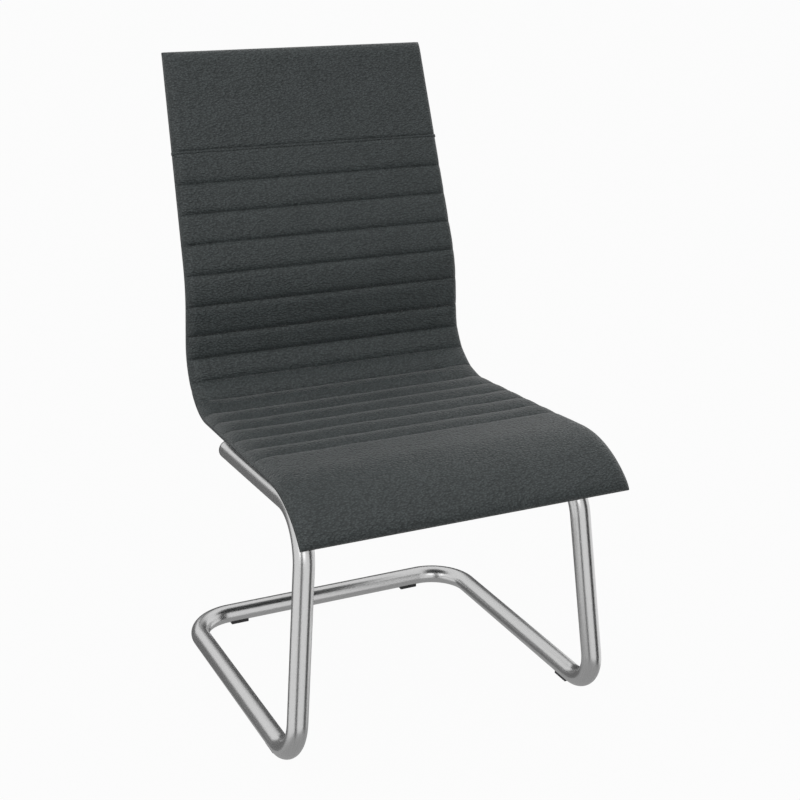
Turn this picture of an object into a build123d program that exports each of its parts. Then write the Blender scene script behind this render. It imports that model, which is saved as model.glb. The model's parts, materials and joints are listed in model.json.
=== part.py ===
from build123d import *
import math
import os

# Cantilever visitor chair. Millimetres and degrees; it faces -Y and stands on Z = 0.

# Bent steel tube
TUBE_OUTER = 30.0
TUBE_WALL = 2.0
FLOOR_SPACING = 487.0        # between the axes of the two floor runs
FLOOR_LENGTH = 486.0         # from the front corners to the rear cross run
LEG_HEIGHT = 361.6           # from the floor axis to the rail axis at the front corner
LEG_LEAN_BACK = 3.8
RAIL_LENGTH = 320.0          # from the front corner to the open end
RAIL_INSET = 29.8            # from the side of the shell, at its bend, to the rail's axis
SEAT_FALL = 2.1              # rails and seat drop this much towards the back
FLOOR_BEND = 62.0            # bend radii on the axis
TOP_BEND = 76.0
REAR_BEND = 67.5

# Plugs in the open rail ends
PLUG_FLANGE = 2.5
PLUG_REACH = 22.0            # ribs inside the tube
PLUG_RIB = 4.0
PLUG_LEAD = 1.0              # chamfer at the ribs' tips

# Glides under the floor runs
GLIDE_LIFT = 3.2             # how far the tube stands off the floor
GLIDE_LENGTH = 30.0
GLIDE_WIDTH = 16.0
GLIDE_HEIGHT = 6.0
GLIDE_CHAMFER = 0.8
PEG_WIDTH = 8.0
PEG_RIB = 2.4
PEG_REACH = 5.0              # peg's length inside the tube
PEG_LEAD = 0.8               # chamfer at its tip
FRONT_GLIDE_SETBACK = 87.0   # from the front corner
REAR_GLIDE_SPACING = 316.0

# Brackets on the inner side of the rails, screws and threaded inserts that hold the shell
SHELL_RISE = 20.0            # from the top of the rail to the underside of the shell
BRACKET_LENGTH = 42.0
BRACKET_PLATE = 5.0          # thickness of the plate under the shell
BRACKET_REACH = 46.0         # from the rail's axis to the plate's inner end
BRACKET_WEB = 12.0           # from the rail's axis to the inner face of the web
BRACKET_OUTER = 2.0          # from the rail's axis to the outer face of the web
BRACKET_CORNER = 6.0
FRONT_BRACKET = 105.0        # from the front corner along the rail
REAR_BRACKET = 60.0          # from the open end of the rail
SCREW_OFFSET = 30.0          # from the rail's axis towards the middle of the chair
SCREW_DIAMETER = 6.0
SCREW_HEAD = 12.0
SCREW_HEAD_HEIGHT = 3.6
SCREW_CROWN = 8.0            # flat end of the head
SCREW_SOCKET = 4.0           # across flats
SCREW_SOCKET_DEPTH = 2.2
SCREW_TIP = 1.0              # how far the tip stays below the plywood's top
INSERT_OUTER = 10.0
INSERT_LENGTH = 8.5

# Edge line of the shell, seen from the side, from the front lip to the top of the back
LIP_RADIUS = 147.0
LIP_ANGLE = 51.7             # slope at the front edge
SEAT_SETBACK = 37.4          # from the front corner of the frame to the seat's level run
SEAT_RUN = 297.7
BEND_RADIUS = 93.4
LOWER_RUN = 46.3
LOWER_LEAN = -1.2            # backward lean of the lower back
LUMBAR_RADIUS = 222.0
UPPER_RUN = 326.2
UPPER_LEAN = 18.4            # backward lean of the upper back

# Outline of the shell, laid flat
LIP_WIDTH = 495.4
BEND_WIDTH = 482.0
TOP_WIDTH = 436.4

# Sewn channels and seams along the edge line
CHANNEL_START = 213.0        # front edge of the first channel, from the lip
SEAT_PITCH = 46.6
SEAT_CHANNELS = 5
BEND_PITCH = 37.9
BEND_CHANNELS = 4
BACK_PITCH = 46.7
BACK_CHANNELS = 6
WELT_WIDTH = 4.5
WELT_OVERHANG = 1.8          # the welt's ends stand out of the sides

# Layers, measured square to the edge line
GROOVE_RISE = 6.5            # sewn lines above the edge line
CHANNEL_SWELL = 4.4          # padding between two sewn lines above them
PANEL_PAD = 3.0              # quilted panel under a sewn line
EDGE_RISE = 1.4              # padding left at the lip and at the top edge
LEATHER = 1.4
CORE_SINK = 2.0              # top of the plywood below the edge line
CORE_THICK = 9.0
GLUE_LINE = 0.3              # between curved layers
SEAT_NOSE = 6.0              # height of the shell's thin edge
BACK_NOSE = 2.6
SEAT_ROLL = 52.0             # width over which the padding falls to the edge
BACK_ROLL = 14.0
END_ROLL = 16.0              # the same at the lip and at the top edge
SEAM_ROLL = 20.0             # plain panels rise from their seams over this length
REAR_BEVEL = 14.0            # the rear cover slopes to the edge over this width
CORE_MARGIN = 18.0           # plywood stops this far inside the outline
FOAM_MARGIN = 10.0

# Clearances
HOLE_CLEARANCE = 0.6         # screw holes, on the diameter
PEG_CLEARANCE = 0.1          # glide pegs in the tube, on the radius
INSERT_CLEARANCE = 0.1       # insert in the plywood, on the diameter
THREAD_CLEARANCE = 0.1       # screw in its insert, on the diameter
PLUG_CLEARANCE = 0.1         # ribs in the tube, on the radius
SEAT_CLEARANCE = 0.05        # between pieces that seat on each other

# Fineness of the lofts
CHANNEL_STEPS = (0.0, 0.15, 0.5, 0.85)
TURN_ANGLE = 7.0             # of the shell's bends between two sections
TUBE_ANGLE = 18.0            # of the tube's bends at one mitre

tube_radius = TUBE_OUTER / 2
bore_radius = tube_radius - TUBE_WALL
floor_axis = GLIDE_LIFT + tube_radius
rear_depth = CORE_SINK + CORE_THICK + GLUE_LINE + LEATHER
edge_height = tube_radius + SHELL_RISE + rear_depth
plate_under = tube_radius + SHELL_RISE - SEAT_CLEARANCE - BRACKET_PLATE
leg_back = LEG_HEIGHT * math.tan(math.radians(LEG_LEAN_BACK))
rail_half = BEND_WIDTH / 2 - RAIL_INSET
fall = math.radians(SEAT_FALL)

# Frame of the rails: origin between the front corners, y along the rails to the back, z square to them
RAILS = Plane(
    origin=(0, leg_back, floor_axis + LEG_HEIGHT),
    x_dir=(1, 0, 0),
    z_dir=(0, math.sin(fall), math.cos(fall)),
)
BRACKETS = {"front": FRONT_BRACKET, "rear": RAIL_LENGTH - REAR_BRACKET}
SIDES = {"left": -1, "right": 1}


def on_rail(side, along):
    """Place on a rail's axis, square to the rail, z towards the shell."""
    return RAILS * Pos(side * rail_half, along, 0)


def tube_axis():
    """Axis of the bent tube, from the left rail's end to the right rail's end."""
    half = FLOOR_SPACING / 2
    left = [
        RAILS.from_local_coords((-rail_half, RAIL_LENGTH - PLUG_FLANGE, 0)),
        RAILS.from_local_coords((-rail_half, 0, 0)),
        Vector(-half, 0, floor_axis),
        Vector(-half, FLOOR_LENGTH, floor_axis),
    ]
    right = [Vector(-p.X, p.Y, p.Z) for p in reversed(left)]
    return FilletPolyline(
        *left, *right,
        radius=[TOP_BEND, FLOOR_BEND, REAR_BEND, REAR_BEND, FLOOR_BEND, TOP_BEND],
    )


def mitre_line(path):
    """The path with each bend as a few mitred corners, every short run between them touching the arc."""
    runs = path.edges()
    corners = [runs[0] @ 0]
    for bend in runs.filter_by(GeomType.CIRCLE):
        turned = bend.length / bend.radius
        count = math.ceil(math.degrees(turned) / TUBE_ANGLE)
        reach = 1 / math.cos(turned / count / 2)
        for i in range(count):
            on_arc = bend @ ((i + 0.5) / count)
            corners.append(bend.arc_center + (on_arc - bend.arc_center) * reach)
    return Polyline(*corners, runs[-1] @ 1)


def glide_places():
    """Where each glide stands, with its length along the run above it."""
    places = {}
    for name, side in SIDES.items():
        places[f"front_{name}_glide"] = Pos(side * FLOOR_SPACING / 2, FRONT_GLIDE_SETBACK, 0)
        places[f"rear_{name}_glide"] = Pos(side * REAR_GLIDE_SPACING / 2, FLOOR_LENGTH, 0) * Rot(0, 0, 90)
    return places


def frame_tube():
    """One bent tube: rails, legs, floor runs and rear cross run, drilled for the glides."""
    path = mitre_line(tube_axis())
    ring = Plane(path @ 0, z_dir=path % 0) * (Circle(tube_radius) - Circle(bore_radius))
    tube = sweep(ring, path=path, transition=Transition.RIGHT)
    peg_radius = math.hypot(PEG_WIDTH, PEG_RIB) / 2 + PEG_CLEARANCE
    peg_hole = Cylinder(peg_radius, floor_axis, align=(Align.CENTER, Align.CENTER, Align.MIN))
    return tube - [place * peg_hole for place in glide_places().values()]


def cross_ribs(width, length, thick):
    """Upright moulded pin of two crossed ribs."""
    up = (Align.CENTER, Align.CENTER, Align.MIN)
    return Box(width, thick, length, align=up) + Box(thick, width, length, align=up)


def end_plug(side):
    """Plug with a round flange on the rail's end and crossed ribs in its bore."""
    flange = Cylinder(tube_radius, PLUG_FLANGE, align=(Align.CENTER, Align.CENTER, Align.MAX))
    width = 2 * math.sqrt((bore_radius - PLUG_CLEARANCE) ** 2 - (PLUG_RIB / 2) ** 2)
    ribs = chamfer(cross_ribs(width, PLUG_REACH, PLUG_RIB).edges().group_by(Axis.Z)[-1], PLUG_LEAD)
    return on_rail(side, RAIL_LENGTH - PLUG_FLANGE) * Rot(90, 0, 0) * (flange + ribs)


def glide():
    """Floor glide along Y: a pad that cups the tube, with a crossed-rib peg through the wall."""
    up = (Align.CENTER, Align.CENTER, Align.MIN)
    pad = Box(GLIDE_WIDTH, GLIDE_LENGTH, GLIDE_HEIGHT, align=up)
    pad = chamfer(pad.edges().group_by(Axis.Z)[0], GLIDE_CHAMFER)
    pad -= Pos(0, 0, floor_axis) * Rot(90, 0, 0) * Cylinder(tube_radius + SEAT_CLEARANCE, 2 * GLIDE_LENGTH)
    peg = cross_ribs(PEG_WIDTH, GLIDE_LIFT / 2 + TUBE_WALL + PEG_REACH, PEG_RIB)
    peg = chamfer(peg.edges().group_by(Axis.Z)[-1], PEG_LEAD)
    return pad + Pos(0, 0, GLIDE_LIFT / 2) * peg


def bracket(side):
    """Bracket on the inner side of a rail: a web hollowed to sit on the tube, a plate under the shell."""
    top = plate_under + BRACKET_PLATE
    section = Polyline(
        (-BRACKET_OUTER, 0), (-BRACKET_OUTER, top), (BRACKET_REACH, top), (BRACKET_REACH, plate_under),
        (BRACKET_WEB, plate_under), (BRACKET_WEB, 0), close=True)
    block = extrude(Plane.XZ * make_face(section), BRACKET_LENGTH / 2, both=True)
    corners = block.edges().filter_by(Axis.Z).group_by(Axis.X)[-1]
    block = chamfer(corners, BRACKET_CORNER)
    block -= Rot(90, 0, 0) * Cylinder(tube_radius + SEAT_CLEARANCE, 2 * BRACKET_LENGTH)
    hole = Cylinder((SCREW_DIAMETER + HOLE_CLEARANCE) / 2, 2 * edge_height)
    block -= Pos(SCREW_OFFSET, 0, 0) * hole
    return block if side < 0 else mirror(block, Plane.YZ)


def seat_screw():
    """Cone-headed socket screw from under a bracket's plate up into its insert."""
    seat = plate_under - SEAT_CLEARANCE
    tip = edge_height - CORE_SINK - SCREW_TIP
    crown = seat - SCREW_HEAD_HEIGHT
    shank = SCREW_DIAMETER / 2
    outline = Polyline((0, crown), (0, tip), (shank, tip), (shank, seat), (SCREW_HEAD / 2, seat),
                       (SCREW_CROWN / 2, crown), close=True)
    screw = revolve(Plane.XZ * make_face(outline), Axis.Z)
    socket = extrude(RegularPolygon(SCREW_SOCKET / 2, 6, major_radius=False), SCREW_SOCKET_DEPTH)
    return screw - Pos(0, 0, crown) * socket


def threaded_insert():
    """Insert nut in the plywood, flush with its underside."""
    thread = Cylinder((SCREW_DIAMETER + THREAD_CLEARANCE) / 2, INSERT_LENGTH)
    nut = Cylinder(INSERT_OUTER / 2, INSERT_LENGTH) - thread
    return Pos(0, 0, edge_height - CORE_SINK - CORE_THICK + INSERT_LENGTH / 2) * nut


def at_screws(piece):
    """The piece at each of the screws, as separate solids."""
    places = [on_rail(side, along) * Pos(-side * SCREW_OFFSET, 0, 0)
              for side in SIDES.values() for along in BRACKETS.values()]
    return Compound([place * piece for place in places])


def drilled(piece, tool):
    """The piece with the tool cut out at each of the screws, one after another."""
    for bore in at_screws(tool).solids():
        piece -= bore
    return piece


def run(line, length):
    """Straight line that carries on from the end of another."""
    return Line(line @ 1, line @ 1 + (line % 1) * length)


def turn(line, radius, angle):
    """Arc that carries on from the end of a line."""
    return JernArc(line @ 1, line % 1, radius, angle)


def edge_line():
    """Edge of the shell seen from the side, as its runs from the front lip to the top of the back."""
    crest = RAILS.from_local_coords((0, SEAT_SETBACK, edge_height))
    lip_turn = LIP_ANGLE + SEAT_FALL
    front = JernArc((crest.Y, crest.Z), (-math.cos(fall), math.sin(fall)), LIP_RADIUS, lip_turn)
    lip = JernArc(front @ 1, (front % 1) * -1, LIP_RADIUS, -lip_turn)
    seat = run(lip, SEAT_RUN)
    bend = turn(seat, BEND_RADIUS, 90 - LOWER_LEAN + SEAT_FALL)
    lower = run(bend, LOWER_RUN)
    lumbar = turn(lower, LUMBAR_RADIUS, LOWER_LEAN - UPPER_LEAN)
    upper = run(lumbar, UPPER_RUN)
    return [lip, seat, bend, lower, lumbar, upper]


EDGE_RUNS = edge_line()
EDGE = Plane.YZ * Wire(EDGE_RUNS)
EDGE_LENGTH = EDGE.length
RUN_ENDS = [sum(r.length for r in EDGE_RUNS[:i]) for i in range(len(EDGE_RUNS) + 1)]
BEND_START, BEND_END = RUN_ENDS[2], RUN_ENDS[3]
BEND_MIDDLE = (BEND_START + BEND_END) / 2
BETWEEN_SCREWS = RUN_ENDS[1] + sum(BRACKETS.values()) / 2 - SEAT_SETBACK


def sewn_lines():
    """Places of the sewn lines, from the front edge of the first channel to the welt."""
    places = [CHANNEL_START]
    rows = ((SEAT_PITCH, SEAT_CHANNELS), (BEND_PITCH, BEND_CHANNELS), (BACK_PITCH, BACK_CHANNELS))
    for pitch, count in rows:
        places += [places[-1] + pitch * (i + 1) for i in range(count)]
    return places


SEWN = sewn_lines()
HEAD_SEAM = SEWN[-1] + WELT_WIDTH


def station(s):
    """Plane square to the edge line at a distance from the lip: x across, y towards the sitter."""
    along = EDGE.tangent_at(s, PositionMode.LENGTH)
    return Plane(EDGE.position_at(s, PositionMode.LENGTH), x_dir=(1, 0, 0), z_dir=along * -1)


def half_width(s):
    """Half the shell's width: two straight tapers that meet where the bend starts."""
    if s < BEND_START:
        return (LIP_WIDTH + (BEND_WIDTH - LIP_WIDTH) * s / BEND_START) / 2
    share = (s - BEND_START) / (EDGE_LENGTH - BEND_START)
    return (BEND_WIDTH + (TOP_WIDTH - BEND_WIDTH) * share) / 2


def seat_to_back(s, seat, back):
    """A size that changes from its seat value to its back value around the bend."""
    share = min(max((s - BEND_START) / (BEND_END - BEND_START), 0), 1)
    return seat + (back - seat) * share


def bulge(share):
    """Quarter round, from 0 at the edge to 1 in the full padding."""
    return math.sqrt(1 - (1 - min(share, 1)) ** 2)


def swell(share):
    """Height over a sewn line, from 0 at the line to the full swell, steepest at the line."""
    return CHANNEL_SWELL * (1 - (1 - min(share, 1)) ** 3)


def rise(s):
    """Height of the padding over the edge line, in the middle of the shell."""
    for start, end in zip(SEWN, SEWN[1:]):
        if start <= s <= end:
            return GROOVE_RISE + swell(2 * min(s - start, end - s) / (end - start))
    from_seam = CHANNEL_START - s if s < CHANNEL_START else s - HEAD_SEAM
    full = GROOVE_RISE + swell(from_seam / SEAM_ROLL)
    from_end = min(s, EDGE_LENGTH - s)
    return EDGE_RISE + (full - EDGE_RISE) * bulge(from_end / END_ROLL)


def lining(s):
    """Height of the panels' inner face over the edge line, in the middle of the shell."""
    return min(GROOVE_RISE - PANEL_PAD, rise(s) - LEATHER)


def rolled_side(level, outer, high, low):
    """Arc down to the side of the shell, level where it leaves the flat middle."""
    drop = high - low
    radius = ((outer - level) ** 2 + drop ** 2) / (2 * drop)
    half_turn = math.asin((outer - level) / radius) / 2
    middle = (level + radius * math.sin(half_turn), high - radius * (1 - math.cos(half_turn)))
    return ThreePointArc((level, high), middle, (outer, low))


def across(side, *middles):
    """Closed section from its right side, the same mirrored, and the lines across the middle."""
    return make_face(side + mirror(side, Plane.YZ) + [Line((-x, y), (x, y)) for x, y in middles])


def panel_section(s, top, overhang=0.0):
    """Padded panel: a flat middle, rolled sides and a thin nose that turns round the edge."""
    half = half_width(s)
    inside = half - LEATHER
    level = half - seat_to_back(s, SEAT_ROLL, BACK_ROLL)
    nose = seat_to_back(s, SEAT_NOSE, BACK_NOSE)
    outer = half + overhang
    under = lining(s)
    edge = Polyline((outer, 0), (outer, -nose), (inside, -nose), (inside, -LEATHER), (level, under))
    return station(s) * across(rolled_side(level, outer, top, 0) + edge, (level, top), (level, under))


def cap_section(s):
    """The same outline closed underneath, where a panel turns round the lip or the top edge."""
    half = half_width(s)
    level = half - seat_to_back(s, SEAT_ROLL, BACK_ROLL)
    nose = seat_to_back(s, SEAT_NOSE, BACK_NOSE)
    side = rolled_side(level, half, rise(s), 0) + Line((half, 0), (half, -nose))
    return station(s) * across(side, (level, rise(s)), (half, -nose))


def foam_section(s):
    """Base foam between the plywood and the panels."""
    half = half_width(s)
    inside = half - LEATHER
    outer = half - FOAM_MARGIN
    level = half - seat_to_back(s, SEAT_ROLL, BACK_ROLL)
    top = lining(s) - GLUE_LINE
    low = top - (lining(s) + LEATHER) * (outer - level) / (inside - level)
    bottom = GLUE_LINE - CORE_SINK
    side = Polyline((level, top), (outer, low), (outer, bottom))
    return station(s) * across(side, (level, top), (outer, bottom))


def core_section(s):
    """Moulded plywood."""
    width = 2 * (half_width(s) - CORE_MARGIN)
    return station(s) * Pos(0, -CORE_SINK - CORE_THICK / 2) * Rectangle(width, CORE_THICK)


def rear_section(s):
    """Rear cover: flat over the plywood, sloping to the thin edge on both sides."""
    half = half_width(s)
    nose = seat_to_back(s, SEAT_NOSE, BACK_NOSE) + GLUE_LINE
    share = min(min(s, EDGE_LENGTH - s) / REAR_BEVEL, 1)
    outside = (nose + 2 * LEATHER) * (1 - share) + rear_depth * share
    inside = outside - LEATHER
    flat = half - REAR_BEVEL
    side = Polyline((flat, -outside), (half, -nose), (half - 2 * LEATHER, -nose), (flat - LEATHER, -inside))
    return station(s) * across(side, (flat, -outside), (flat - LEATHER, -inside))


def turn_places():
    """Places along the bends that keep them smooth."""
    places = []
    for start, end, piece in zip(RUN_ENDS, RUN_ENDS[1:], EDGE_RUNS):
        if piece.geom_type == GeomType.CIRCLE:
            steps = math.ceil(math.degrees(piece.length / piece.radius) / TURN_ANGLE)
            places += [start + (end - start) * i / steps for i in range(steps + 1)]
    return places


def places_between(start, end, extra=()):
    """Places of a loft's sections, with the extra ones, none too close to the next."""
    wanted = sorted(p for p in [*turn_places(), *extra] if start + LEATHER < p < end - LEATHER)
    places = [start]
    for place in wanted:
        if place - places[-1] > LEATHER:
            places.append(place)
    return places + [end]


def ruled(section, places):
    """Loft with straight lines between the sections."""
    return loft([section(s) for s in places], ruled=True)


def padded(start, end, extra=()):
    """Padded panel between two seams."""
    return ruled(lambda s: panel_section(s, rise(s)), places_between(start, end, extra))


def channel_panel():
    """Quilted panel of seat and back, swelling between its sewn lines."""
    steps = [a + (b - a) * share for a, b in zip(SEWN, SEWN[1:]) for share in CHANNEL_STEPS]
    return padded(SEWN[0], SEWN[-1], steps)


def rolled_places(edge, inward, length):
    """Places on a quarter round of the given length, closer where it is steep."""
    return [edge + inward * length * share ** 2 for share in (0.3, 0.5, 0.75, 1.0)]


def seat_front_panel():
    """Plain panel from the first channel over the front of the seat and round the lip."""
    extra = rolled_places(0, 1, END_ROLL) + rolled_places(CHANNEL_START, -1, SEAM_ROLL)
    return padded(LEATHER, CHANNEL_START, extra) + ruled(cap_section, [0, LEATHER])


def head_panel():
    """Plain panel above the head seam, turned over the top edge."""
    last = EDGE_LENGTH - LEATHER
    extra = rolled_places(HEAD_SEAM, 1, SEAM_ROLL) + rolled_places(EDGE_LENGTH, -1, END_ROLL)
    return padded(HEAD_SEAM, last, extra) + ruled(cap_section, [last, EDGE_LENGTH])


def head_welt():
    """Folded welt sewn in below the head panel, its ends just outside the edges."""
    top = GROOVE_RISE + CHANNEL_SWELL / 2
    return ruled(lambda s: panel_section(s, top, WELT_OVERHANG), [SEWN[-1], HEAD_SEAM])


def shell_core():
    """Moulded plywood shell, bored for the threaded inserts."""
    core = ruled(core_section, places_between(CORE_MARGIN, EDGE_LENGTH - CORE_MARGIN, [BETWEEN_SCREWS]))
    bore = Cylinder((INSERT_OUTER + INSERT_CLEARANCE) / 2, 3 * CORE_THICK)
    return drilled(core, Pos(0, 0, edge_height - CORE_SINK) * bore)


def under_cover():
    """Cover under the seat, from the lip to the middle of the bend, pierced by the screws."""
    cover = ruled(rear_section, places_between(0, BEND_MIDDLE, [REAR_BEVEL, BETWEEN_SCREWS]))
    hole = Cylinder((SCREW_DIAMETER + HOLE_CLEARANCE) / 2, 2 * rear_depth)
    return drilled(cover, Pos(0, 0, edge_height - rear_depth) * hole)


def back_cover():
    """Cover behind the back, from the middle of the bend to the top edge."""
    return ruled(rear_section, places_between(BEND_MIDDLE, EDGE_LENGTH, [EDGE_LENGTH - REAR_BEVEL]))


def assembly():
    """Every piece of the chair under its name, with the front corners of the frame at Y = 0."""
    pieces = {
        "frame_tube": frame_tube(),
        "seat_screws": at_screws(seat_screw()),
        "threaded_inserts": at_screws(threaded_insert()),
        "shell_core": shell_core(),
        "seat_foam": ruled(foam_section, places_between(END_ROLL, BEND_MIDDLE)),
        "back_foam": ruled(foam_section, places_between(BEND_MIDDLE, EDGE_LENGTH - END_ROLL)),
        "seat_front_panel": seat_front_panel(),
        "channel_panel": channel_panel(),
        "head_welt": head_welt(),
        "head_panel": head_panel(),
        "under_cover": under_cover(),
        "back_cover": back_cover(),
    }
    for side_name, side in SIDES.items():
        pieces[f"{side_name}_end_plug"] = end_plug(side)
        for end_name, along in BRACKETS.items():
            pieces[f"{end_name}_{side_name}_bracket"] = on_rail(side, along) * bracket(side)
    for name, place in glide_places().items():
        pieces[name] = place * glide()
    return pieces


def main():
    """Centre the chair on its depth and write each piece."""
    pieces = assembly()
    depth = Compound([solid for piece in pieces.values() for solid in piece.solids()]).bounding_box()
    to_origin = Pos(0, -(depth.min.Y + depth.max.Y) / 2, 0)
    os.makedirs("parts", exist_ok=True)
    for name, piece in pieces.items():
        export_step(to_origin * piece, f"parts/{name}.step")
        print(name, len(piece.solids()), round(piece.volume, 1), piece.is_valid)
    print("size", depth.size, "moved by", to_origin.position.Y)


main()
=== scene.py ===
# %% [markdown]
# # A cantilever visitor chair
# One bent steel tube carries a thin padded shell that runs from the front of the seat to the top of the
# back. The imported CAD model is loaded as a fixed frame: its plugs, glides, brackets and screws keep their
# shapes and only get finishes here. The tube and the upholstery are made again, finer, in the places that
# the CAD gives them.

# %% Load the frame
import json
import math

import bmesh
import bpy
from mathutils import Matrix, Vector, noise


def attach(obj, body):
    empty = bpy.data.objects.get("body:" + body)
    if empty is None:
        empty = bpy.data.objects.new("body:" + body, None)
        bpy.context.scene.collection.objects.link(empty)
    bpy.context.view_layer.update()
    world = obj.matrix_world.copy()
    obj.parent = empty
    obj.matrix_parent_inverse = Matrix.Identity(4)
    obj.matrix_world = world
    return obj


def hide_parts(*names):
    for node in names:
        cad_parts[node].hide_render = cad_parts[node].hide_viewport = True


MM = 0.001

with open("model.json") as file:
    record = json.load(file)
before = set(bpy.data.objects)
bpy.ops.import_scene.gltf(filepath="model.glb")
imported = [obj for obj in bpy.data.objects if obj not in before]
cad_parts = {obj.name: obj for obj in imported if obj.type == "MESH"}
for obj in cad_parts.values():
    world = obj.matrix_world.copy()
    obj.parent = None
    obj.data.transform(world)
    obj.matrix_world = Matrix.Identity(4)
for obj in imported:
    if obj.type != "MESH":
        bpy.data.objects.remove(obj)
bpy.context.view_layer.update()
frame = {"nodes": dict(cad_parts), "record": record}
nodes = frame["nodes"]
scene = bpy.context.scene

# %% [markdown]
# ## Camera
# A product photograph is usually taken with a longer lens from a little above the seat, so that the legs
# stay nearly parallel. Place, turn and lens were solved together with the tube's centre line, because a
# line with several bends in space fits from one place only.

# %% Place the camera
CAMERA_PLACE = (-0.86976, -1.93139, 1.15188)
CAMERA_DOWN = 18.507         # degrees below level
CAMERA_TURN = -25.177        # degrees about the upright axis
LENS = 66.25                 # mm, on a sensor 36 mm wide
SENSOR_WIDTH = 36.0

camera_data = bpy.data.cameras.new("studio_camera")
camera_data.lens = LENS
camera_data.sensor_width = SENSOR_WIDTH
camera = bpy.data.objects.new("studio_camera", camera_data)
camera.location = CAMERA_PLACE
camera.rotation_euler = (math.radians(90 - CAMERA_DOWN), 0, math.radians(CAMERA_TURN))
scene.collection.objects.link(camera)
scene.camera = camera
print("camera at", CAMERA_PLACE)

# %% [markdown]
# ## Shader maths as Python
# A node tree is easier to read as a formula. One small class wraps a socket, so that `1 - grain * 0.3`
# adds its own Math nodes. Every other node comes from one function that sets its settings first and its
# sockets after.


# %% A socket that can be calculated with
class Value:
    """A socket of a node tree. Arithmetic on it adds Math nodes."""

    def __init__(self, tree, socket):
        self.tree = tree
        self.socket = socket

    def maths(self, operation, first, second):
        return add_node(self.tree, "ShaderNodeMath", {"operation": operation}, {0: first, 1: second})

    def __add__(self, other):
        return self.maths("ADD", self, other)

    def __sub__(self, other):
        return self.maths("SUBTRACT", self, other)

    def __rsub__(self, other):
        return self.maths("SUBTRACT", other, self)

    def __mul__(self, other):
        return self.maths("MULTIPLY", self, other)

    def __pow__(self, other):
        return self.maths("POWER", self, other)

    __radd__ = __add__
    __rmul__ = __mul__


def add_node(tree, kind, settings=None, sockets=None, output=0):
    """Adds a node: its settings first, then its sockets' values or links. Returns one of its outputs."""
    node = tree.nodes.new(kind)
    for name, setting in (settings or {}).items():
        setattr(node, name, setting)
    for name, term in (sockets or {}).items():
        if isinstance(term, Value):
            tree.links.new(term.socket, node.inputs[name])
        else:
            node.inputs[name].default_value = term
    return Value(tree, node.outputs[output]) if node.outputs else None


print("a socket knows + - * and **")

# %% [markdown]
# ## Studio
# The chair stands on a plain pale floor in soft light. A white world at full strength would flatten the
# leather, so it lights the chair a little less, and only the camera and mirror-like rays see it as pure
# white. The floor is white to the camera too, but keeps a faint share of its own shading, which holds the
# contact shadow. It is left out of reflections, so that the cards below can shade the tube from there.

# %% World
WORLD_LIGHT = 0.85
WHITE = (1, 1, 1, 1)


def seen_directly(tree):
    """1 for rays that come from the camera or from a mirror-like or clear surface, 0 for the others."""
    rays = [add_node(tree, "ShaderNodeLightPath", None, None, output) for output in
            ("Is Camera Ray", "Is Glossy Ray", "Is Transmission Ray")]
    total = rays[0] + rays[1] + rays[2]
    return total.maths("MINIMUM", total, 1.0)


world = bpy.data.worlds.new("white_studio")
world.use_nodes = True
world.node_tree.nodes.clear()
sky = add_node(world.node_tree, "ShaderNodeBackground", None, {
    "Color": WHITE,
    "Strength": WORLD_LIGHT + (1 - WORLD_LIGHT) * seen_directly(world.node_tree),
})
add_node(world.node_tree, "ShaderNodeOutputWorld", None, {"Surface": sky})
scene.world = world
scene.view_settings.view_transform = "Standard"
print("world lights at", WORLD_LIGHT)

# %% Floor
FLOOR_SIZE = 80.0
FLOOR_GREY = (0.3, 0.3, 0.3, 1)
FLOOR_SHADOW = 0.04          # the floor's share of its own shading
LEVEL = Matrix.Identity(3)


def new_finish(name):
    """An empty material and its tree."""
    material = bpy.data.materials.new(name)
    material.use_nodes = True
    material.node_tree.nodes.clear()
    return material, material.node_tree


def flat_panel(name, finish, size, place, turn):
    """A flat rectangle of the studio."""
    wide, high = size[0] / 2, size[1] / 2
    flat = ((-wide, -high, 0), (wide, -high, 0), (wide, high, 0), (-wide, high, 0))
    mesh = bpy.data.meshes.new(name)
    mesh.from_pydata([Vector(place) + turn @ Vector(corner) for corner in flat], [], [(0, 1, 2, 3)])
    mesh.materials.append(finish)
    panel = bpy.data.objects.new(name, mesh)
    scene.collection.objects.link(panel)
    return panel


floor_finish, floor_tree = new_finish("pale_floor")
matt = add_node(floor_tree, "ShaderNodeBsdfDiffuse", None, {"Color": FLOOR_GREY})
glow = add_node(floor_tree, "ShaderNodeEmission", None, {"Color": WHITE, "Strength": 1.0})
glow_share = (1 - FLOOR_SHADOW) * seen_directly(floor_tree)
both = add_node(floor_tree, "ShaderNodeMixShader", None, {0: glow_share, 1: matt, 2: glow})
add_node(floor_tree, "ShaderNodeOutputMaterial", None, {"Surface": both})

floor = flat_panel("floor", floor_finish, (FLOOR_SIZE, FLOOR_SIZE), (0, 0, 0), LEVEL)
floor.visible_glossy = False
print("floor", FLOOR_SIZE, "m across")

# %% [markdown]
# ## Soft box
# The world alone gives no direction, and then the channels hardly show. A studio adds one large lamp
# behind cloth, here an area lamp that stands to the left of the camera and above it. It is wide, so that
# its shadows stay soft.

# %% Soft box
LAMP_PLACE = (-1.6, -2.2, 2.4)
LAMP_AIM = (0, 0, 0.5)
LAMP_SIZE = 4.0
LAMP_POWER = 52

lamp_data = bpy.data.lights.new("soft_box", "AREA")
lamp_data.size = LAMP_SIZE
lamp_data.energy = LAMP_POWER
lamp = bpy.data.objects.new("soft_box", lamp_data)
lamp.location = LAMP_PLACE
lamp.rotation_euler = (Vector(LAMP_AIM) - Vector(LAMP_PLACE)).to_track_quat("-Z", "Y").to_euler()
lamp.visible_camera = False
scene.collection.objects.link(lamp)
print("soft box", LAMP_SIZE, "m wide at", LAMP_PLACE)

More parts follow.
